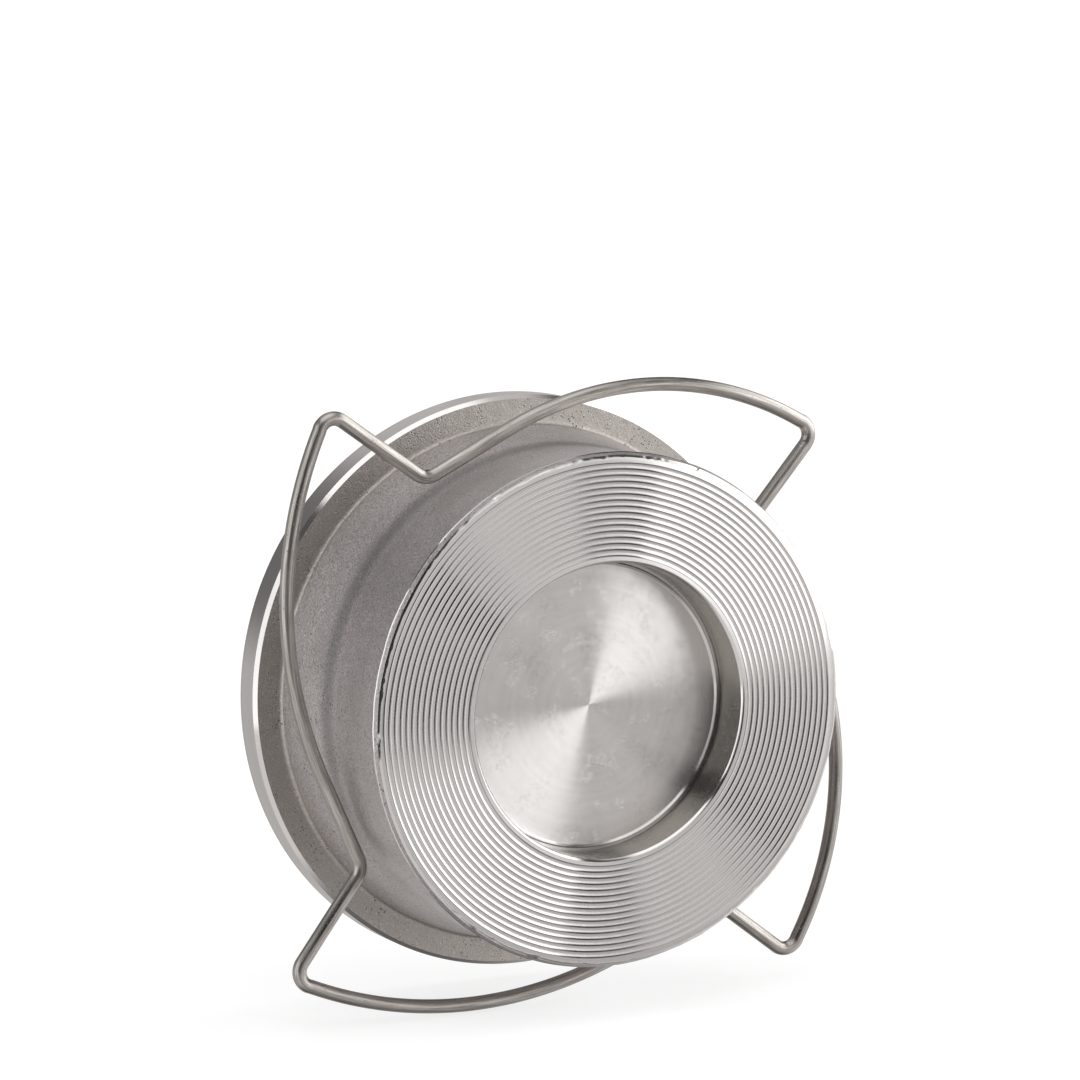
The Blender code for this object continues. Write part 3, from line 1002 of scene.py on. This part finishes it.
def turned_steel(name, light, dull, roughness, spread, stain, marks):
    """Lathe-turned stainless steel: fine rings round the flow axis, faint scratches and stains.

    spread is how far the highlights fan out, stain and marks how strong the stains and scratches are.
    """
    shader = Shader(name)
    x, y, z = shader.split(shader.spot)
    radius = shader.math("SQRT", shader.math("ADD", shader.product(x, x), shader.product(z, z)))
    ring_place = shader.join(radius, y, 0.0)
    fine = shader.noise(ring_place, 5.5, detail=3.0, roughness=0.7)
    broad = shader.noise(ring_place, 0.9)
    smudge = shader.noise(shader.spot, 0.16, detail=4.0, roughness=0.6)
    freckle = shader.noise(shader.spot, 1.5, detail=3.0, roughness=0.65)
    hair = shader.noise(shader.vector("MULTIPLY", shader.spot, (0.5, 0.5, 9.0)), 1.3)
    scratch = shader.fall(shader.math("ABSOLUTE", shader.math("SUBTRACT", hair, 0.5)), (0.0, 0.012))
    scratch = shader.product(scratch, shader.remap(shader.noise(shader.spot, 0.35), 0.52, 0.66))
    stains = shader.product(shader.remap(smudge, 0.42, 0.72), shader.remap(freckle, 0.4, 0.7), stain)
    rings = shader.product(shader.remap(broad, 0.3, 0.7, 0.975, 1.015), groove_crests(shader, radius, y))
    colour = shader.vector("SCALE", shader.blend(stains, light, dull), scale=rings)
    rough = shader.math("ADD", roughness, shader.remap(smudge, 0.3, 0.7, -0.03 * marks, 0.03 * marks))
    rough = shader.math("ADD", rough, shader.product(scratch, 0.06))
    normal = shader.bump(fine, 0.0018)
    normal = shader.bump(scratch, -0.003 * marks, normal=normal)
    shader.brush(spread, direction_type="RADIAL", axis="Y")
    return shader.finish(colour, rough, normal)


# The casting's darker bands, in mm along the axis from the middle of the valve. The one round the
# waist is a painted shadow of the centring ring and fades out towards the bottom. The one on the front
# of the rim is painted shade, where the neck keeps the light off.
FACE_BAND = (-19.1, -18.9)
RING_SHADOW_MIDDLE = -0.5
RING_SHADOW_EDGE = (0.3, 3.0)
RING_SHADOW_BOTTOM = (-30.0, -12.0)
RIM_SHADE_BAND = (11.8, 12.8)


def bands_and_painted_shade(shader, colour):
    """Darker bands of the casting: behind the face, a painted shadow of the centring ring round the
    waist and painted shade on the front of the rim.
    """
    _, y, z = shader.split(shader.spot)
    behind_face = shader.remap(y, *FACE_BAND, 0.5, 0.0)
    colour = shader.blend(behind_face, colour, tint(0.26, 0.245, 0.24))
    # Painted shadow of the centring ring round the waist, fading out towards the bottom.
    from_ring_shadow = shader.math("ABSOLUTE", shader.math("SUBTRACT", y, RING_SHADOW_MIDDLE))
    ring_shadow = shader.product(shader.remap(from_ring_shadow, *RING_SHADOW_EDGE, 0.55, 0.0), shader.rise(z, RING_SHADOW_BOTTOM))
    colour = shader.blend(ring_shadow, colour, tint(0.2, 0.19, 0.185))
    # Painted shade on the front of the rim, where the neck keeps the light off.
    rim_shade = shader.remap(y, *RIM_SHADE_BAND, 0.0, 0.75)
    return shader.blend(rim_shade, colour, tint(0.4, 0.37, 0.34))


def cast_steel(name):
    """Blasted investment casting: fine grain, clustered pits and darker patches."""
    shader = Shader(name)
    grain = shader.noise(shader.spot, 3.2, detail=4.0, roughness=0.7)
    lumps = shader.noise(shader.spot, 0.55, detail=3.0, roughness=0.55)
    patches = shader.noise(shader.spot, 0.1, detail=3.0)
    pit = shader.fall(shader.cells(shader.spot, 1.7), (0.12, 0.3))
    pit = shader.product(pit, shader.remap(shader.noise(shader.spot, 0.22, detail=3.0), 0.4, 0.66))
    specks = shader.remap(shader.noise(shader.spot, 3.6, detail=1.0), 0.6, 0.72)
    light, dark = tint(0.8, 0.757, 0.752), tint(0.42, 0.395, 0.392)
    colour = shader.blend(shader.remap(grain, 0.3, 0.7), dark, light)
    colour = shader.blend(shader.remap(patches, 0.4, 0.65, 0.0, 0.25), colour, tint(0.4, 0.38, 0.37))
    # Darker bands, with painted shade: the centring ring's shadow round the waist and the shade on the
    # rim's front.
    colour = bands_and_painted_shade(shader, colour)
    colour = shader.blend(shader.product(pit, 0.9), colour, tint(0.1, 0.09, 0.085))
    colour = shader.blend(shader.product(specks, 0.5), colour, tint(0.8, 0.78, 0.76))
    rough = shader.remap(grain, 0.25, 0.75, 0.36, 0.52)
    normal = shader.bump(lumps, 0.1)
    normal = shader.bump(grain, 0.07, normal=normal)
    normal = shader.bump(pit, -0.12, normal=normal)
    return shader.finish(colour, rough, normal)


def drawn_wire(name, light, dark, rough_low, rough_high):
    """Drawn wire: lengthwise scratches, small pits and a slightly uneven dull skin."""
    shader = Shader(name)
    attribute = shader.node("ShaderNodeAttribute")
    attribute.attribute_name = "drawn"
    place = shader.vector("SCALE", attribute.outputs["Vector"], scale=1 / MM)
    lines = shader.vector("MULTIPLY", place, (0.03, 1.0, 1.0))
    lines = shader.noise(lines, 5.0, detail=3.0, roughness=0.6)
    skin = shader.noise(shader.vector("MULTIPLY", place, (0.15, 1.0, 1.0)), 0.7)
    pits = shader.remap(shader.noise(place, 3.0, roughness=0.6), 0.66, 0.76)
    colour = shader.blend(shader.remap(lines, 0.35, 0.65), dark, light)
    colour = shader.blend(shader.remap(skin, 0.45, 0.75, 0.0, 0.25), colour, dark)
    colour = shader.blend(shader.product(pits, 0.6), colour, tint(0.08, 0.07, 0.06))
    rough = shader.remap(skin, 0.3, 0.7, rough_low, rough_high)
    normal = shader.bump(lines, 0.01)
    normal = shader.bump(pits, -0.03, normal=normal)
    shader.brush(0.5, direction_type="UV_MAP", uv_map="UVMap")
    return shader.finish(colour, rough, normal)


def pressed_steel(name, light, dark, rough_low, rough_high):
    """Cold-rolled sheet: a faint rolling direction, dull patches and handling marks."""
    shader = Shader(name)
    rolled = shader.vector("MULTIPLY", shader.spot, (0.15, 1.0, 2.5))
    rolled = shader.noise(rolled, 2.2, detail=3.0, roughness=0.6)
    patches = shader.noise(shader.spot, 0.25, detail=3.0, roughness=0.6)
    marks = shader.remap(shader.noise(shader.spot, 1.8), 0.6, 0.72)
    colour = shader.blend(shader.remap(rolled, 0.3, 0.7), dark, light)
    colour = shader.blend(shader.product(marks, 0.25), colour, dark)
    rough = shader.remap(patches, 0.3, 0.7, rough_low, rough_high)
    normal = shader.bump(rolled, 0.01)
    normal = shader.bump(marks, -0.01, normal=normal)
    return shader.finish(colour, rough, normal)


# ---------------------------------------------------------------- studio

CAMERA_AZIMUTH = math.radians(-26.74)
CAMERA_ELEVATION = math.radians(8.02)
CAMERA_DISTANCE = 871.0
CAMERA_ASIDE = -11.3
CAMERA_ABOVE = 27.4
CAMERA_LENS = 182.0
SENSOR_WIDTH = 36.0
FLOOR_HALF = 12.0


def camera_axes():
    """The camera's right, up and backward directions."""
    right = Vector((math.cos(CAMERA_AZIMUTH), math.sin(CAMERA_AZIMUTH), 0))
    level = math.cos(CAMERA_ELEVATION)
    back = Vector((level * right.y, -level * right.x, math.sin(CAMERA_ELEVATION)))
    return right, back.cross(right), back


# The studio that the metal reflects, by direction: x to the right, -y in front of the inlet face, z up.
# A light is a brightness. A pair such as BACK_EDGE or TENT_FRONT is where a soft transition starts and
# ends, as a component of the direction or its distance from a line.
ROOM_LIGHT = 0.78
BACK_EDGE = (-0.1, 0.4)
BACK_LOW_LIGHT = 0.58
BACK_LEFT_LIGHT = 0.42
BACK_RIGHT_LIGHT = 0.62
BACK_LOW_EDGE = (0.0, 0.35)
BACK_RIGHT_EDGE = (-0.3, 0.3)

TENT_LIGHT = 1.6
TENT_FRONT = (-0.7, -0.6)
TENT_BACK = (0.05, 0.45)
TENT_RIGHT = (0.2, 0.36)

GAP_LIGHT = 0.05
GAP_LEFT = (0.29, 0.36)
GAP_FLOOR = (0.3, 0.45)
GAP_TOP = (0.78, 0.88)

SLIT_NORMAL = (0.736, -0.133, 0.664)
SLIT_LIGHT = 0.1
SLIT_EDGE = (0.11, 0.17)
SLIT_BACK = (0.2, 0.5)

SPOT_DIRECTION = (-0.344, 0.884, 0.316)
SPOT_EDGE = (0.913, 0.99)
SPOT_LIGHT = 0.17

BOX_CORNER = (0.4455, -0.1395)
BOX_LEAN = (0.25, 0.2)
BOX_SIDE = (-0.03, 0.06)
BOX_FLOOR = (-0.08, 0.05)
BOX_BACK = (0.2, 0.5)
BOX_LIGHT = 2.7

TABLE_LEFT_LIGHT = 0.88
TABLE_MIDDLE_LIGHT = 0.58
TABLE_RIGHT_LIGHT = 1.05
TABLE_BACK_LIGHT = 0.58
TABLE_MIDDLE_EDGE = (-0.3, 0.4)
TABLE_RIGHT_EDGE = (0.5, 0.75)
TABLE_BACK_EDGE = (0.0, 0.8)
TABLE_LEAN = 0.1
HORIZON_EDGE = (-0.03, 0.0)
UNDER_LIGHT = 0.15
UNDER_EDGE = (-0.98, -0.78)

CAMERA_SIDE_LIGHT = 0.02
CAMERA_SIDE_EDGE = (0.84, 0.89)
CAMERA_SIDE_FLOOR = (-0.3, -0.24)


def back_light(shader, x, z):
    """The room behind the valve."""
    left = shader.remap(z, *BACK_LOW_EDGE, BACK_LOW_LIGHT, BACK_LEFT_LIGHT)
    return shader.remap(x, *BACK_RIGHT_EDGE, left, BACK_RIGHT_LIGHT)


def table_light(shader, x, y, z):
    """The pale table below, dark straight under the valve."""
    front = shader.remap(x, *TABLE_MIDDLE_EDGE, TABLE_LEFT_LIGHT, TABLE_MIDDLE_LIGHT)
    front = shader.between(shader.rise(x, TABLE_RIGHT_EDGE), front, TABLE_RIGHT_LIGHT)
    table = shader.between(shader.rise(y, TABLE_BACK_EDGE), front, TABLE_BACK_LIGHT)
    return shader.remap(z, *UNDER_EDGE, UNDER_LIGHT, table)


def studio_light(shader, direction):
    """Brightness by direction: a tent at the left and above, a soft box at the right, a table below."""
    x, y, z = shader.split(direction)
    light = shader.between(shader.rise(y, BACK_EDGE), ROOM_LIGHT, back_light(shader, x, z))
    tent = shader.product(
        shader.rise(y, TENT_FRONT), shader.fall(y, TENT_BACK), shader.fall(x, TENT_RIGHT)
    )
    light = shader.between(tent, light, TENT_LIGHT)
    gap = shader.product(shader.rise(x, GAP_LEFT), shader.rise(z, GAP_FLOOR), shader.fall(z, GAP_TOP))
    light = shader.between(gap, light, GAP_LIGHT)
    from_slit = shader.math("ABSOLUTE", shader.dot(direction, SLIT_NORMAL))
    slit = shader.product(shader.fall(from_slit, SLIT_EDGE), shader.fall(y, SLIT_BACK))
    light = shader.between(slit, light, SLIT_LIGHT)
    dark_spot = shader.rise(shader.dot(direction, SPOT_DIRECTION), SPOT_EDGE)
    light = shader.between(dark_spot, light, SPOT_LIGHT)
    aside = shader.math("SUBTRACT", x, BOX_CORNER[0])
    above = shader.math("SUBTRACT", z, BOX_CORNER[1])
    from_side = shader.math("SUBTRACT", aside, shader.product(above, BOX_LEAN[0]))
    from_floor = shader.math("SUBTRACT", above, shader.product(aside, BOX_LEAN[1]))
    box = shader.product(
        shader.rise(from_side, BOX_SIDE), shader.rise(from_floor, BOX_FLOOR), shader.fall(y, BOX_BACK)
    )
    light = shader.between(box, light, BOX_LIGHT)
    from_table = shader.math("SUBTRACT", above, shader.product(aside, TABLE_LEAN))
    light = shader.between(shader.rise(from_table, HORIZON_EDGE), table_light(shader, x, y, z), light)
    camera_side = shader.rise(shader.dot(direction, camera_axes()[2]), CAMERA_SIDE_EDGE)
    camera_side = shader.product(camera_side, shader.rise(z, CAMERA_SIDE_FLOOR))
    return shader.between(camera_side, light, CAMERA_SIDE_LIGHT)


def world():
    """A white backdrop for the camera, and a soft-box studio for the metal to reflect."""
    sky = bpy.data.worlds.new("studio")
    bpy.context.scene.world = sky
    sky.use_nodes = True
    shader = Nodes(sky.node_tree)
    shader.tree.nodes.clear()
    direction = shader.vector("NORMALIZE", shader.node("ShaderNodeTexCoord").outputs["Generated"])
    light = studio_light(shader, direction)
    metal_sees = shader.node("ShaderNodeBackground")
    shader.feed(metal_sees.inputs["Strength"], light)
    warmth = shader.remap(light, 0.8, 1.3)
    shader.feed(metal_sees.inputs["Color"], shader.blend(warmth, tint(1.0, 0.975, 0.965), tint(1, 1, 1)))
    camera_sees = shader.node("ShaderNodeBackground")
    camera_sees.inputs["Strength"].default_value = 1.0
    camera_sees.inputs["Color"].default_value = tint(1, 1, 1)
    path = shader.node("ShaderNodeLightPath")
    mix = shader.node("ShaderNodeMixShader")
    shader.feed(mix.inputs[0], path.outputs["Is Camera Ray"])
    shader.feed(mix.inputs[1], metal_sees.outputs[0])
    shader.feed(mix.inputs[2], camera_sees.outputs[0])
    shader.feed(shader.node("ShaderNodeOutputWorld").inputs["Surface"], mix.outputs[0])


def floor(height):
    """A large pale floor that the metal doesn't reflect: only the studio shapes the highlights."""
    signs = ((-1, -1), (1, -1), (1, 1), (-1, 1))
    corners = [(x * FLOOR_HALF, y * FLOOR_HALF, height) for x, y in signs]
    bm = bmesh.new()
    bm.faces.new([bm.verts.new(corner) for corner in corners])
    shader = Shader("pale_floor")
    look = {
        "Metallic": 0.0,
        "Roughness": 0.9,
        "Specular IOR Level": 0.0,
        "Base Color": tint(0.35, 0.35, 0.35),
        "Emission Color": tint(1, 1, 1),
        "Emission Strength": 0.74,
    }
    for name, value in look.items():
        shader.surface.inputs[name].default_value = value
    obj = finish_mesh(bm, "pale_floor", [shader.material])
    obj.visible_glossy = False
    obj.visible_shadow = False
    obj.visible_diffuse = False


def camera():
    right, up, back = camera_axes()
    offset = CAMERA_ASIDE * right + CAMERA_ABOVE * up + CAMERA_DISTANCE * back
    data = bpy.data.cameras.new("camera")
    data.lens = CAMERA_LENS
    data.sensor_width = SENSOR_WIDTH
    data.clip_start = 0.01
    obj = bpy.data.objects.new("camera", data)
    bpy.context.scene.collection.objects.link(obj)
    obj.matrix_world = Matrix((right, up, back)).transposed().to_4x4()
    obj.location = Vector((0, INLET_Y, 0)) + MM * offset
    bpy.context.scene.camera = obj


def build():
    face = turned_steel(
        "turned_face", tint(0.66, 0.64, 0.63), tint(0.5, 0.47, 0.43),
        roughness=0.17, spread=0.85, stain=0.15, marks=0.3,
    )
    plate_face = turned_steel(
        "turned_disc", tint(0.64, 0.62, 0.61), tint(0.48, 0.45, 0.42),
        roughness=0.24, spread=1.0, stain=0.5, marks=1.0,
    )
    bore = turned_steel(
        "turned_bore", tint(0.5, 0.475, 0.44), tint(0.4, 0.375, 0.34),
        roughness=0.26, spread=0.95, stain=0.5, marks=0.6,
    )
    casting = cast_steel("cast_skin")
    wire = drawn_wire("satin_wire", tint(0.5, 0.475, 0.45), tint(0.3, 0.28, 0.26), 0.26, 0.36)
    bright = tint(0.6, 0.59, 0.57)
    spring_wire = drawn_wire("spring_wire_bright", bright, tint(0.4, 0.38, 0.36), 0.2, 0.3)
    sheet = pressed_steel("pressed_sheet_rolled", bright, tint(0.45, 0.43, 0.41), 0.28, 0.42)
    snap = pressed_steel("snap_ring_dark", tint(0.42, 0.41, 0.4), tint(0.26, 0.25, 0.24), 0.3, 0.45)
    valve_body(face, casting, bore)
    valve_disc(plate_face)
    centring_ring(wire)
    closing_spring(spring_wire)
    spring_retainer(sheet)
    retaining_ring(snap)
    world()
    floor(CAD_BOX[0].z)
    camera()
    bpy.context.scene.view_settings.view_transform = "Standard"


build()
